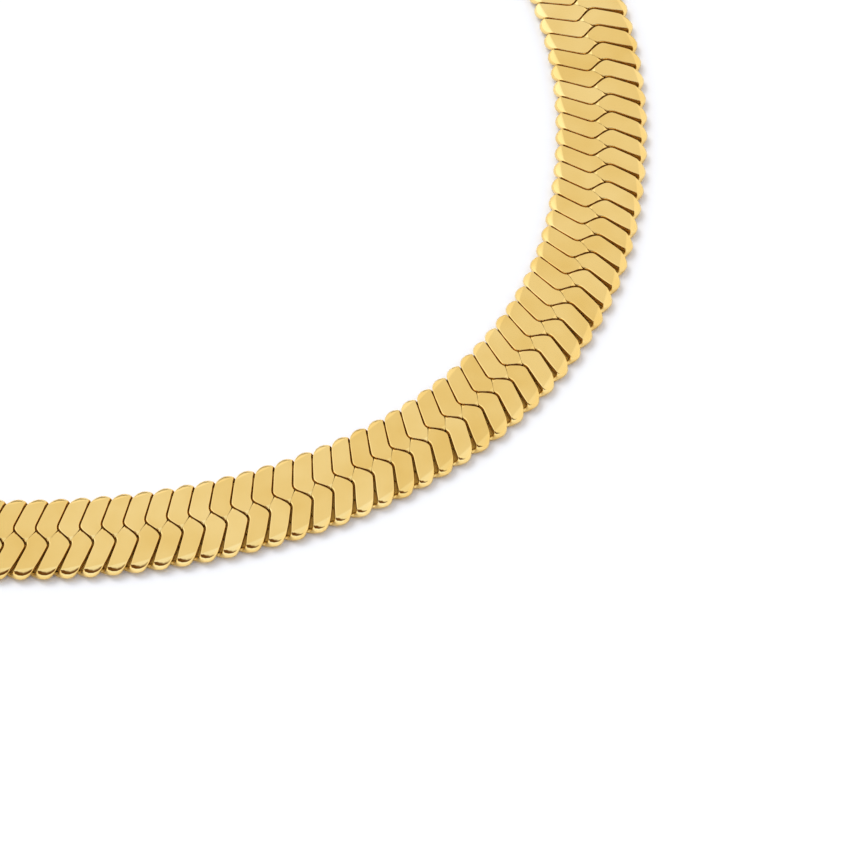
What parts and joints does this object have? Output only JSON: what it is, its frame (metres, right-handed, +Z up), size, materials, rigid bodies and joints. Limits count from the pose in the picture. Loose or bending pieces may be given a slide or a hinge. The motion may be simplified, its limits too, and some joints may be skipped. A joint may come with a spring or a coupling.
{
  "type": "herringbone chain necklace",
  "caption": "Flat herringbone chain necklace in polished gold-coloured metal, lying as a closed loop, with soldered end caps and a small clasp at the back.",
  "frame": {"origin": "on the surface that the necklace lies on, half way between its sides and half way between its front and its back", "axes": "+Z up off the surface, +Y towards the clasp at the back of the loop, +X to the right seen from above with the clasp away from the viewer"},
  "size_m": [0.1486, 0.1264, 0.0036],
  "materials": {
    "chain_gold": "polished",
    "fitting_gold": "polished"
  },
  "bodies": {
    "root": {"chain_left": "chain_gold", "chain_right": "chain_gold", "end_cap_left": "fitting_gold", "end_cap_right": "fitting_gold", "clasp": "fitting_gold"}
  },
  "joints": []
}
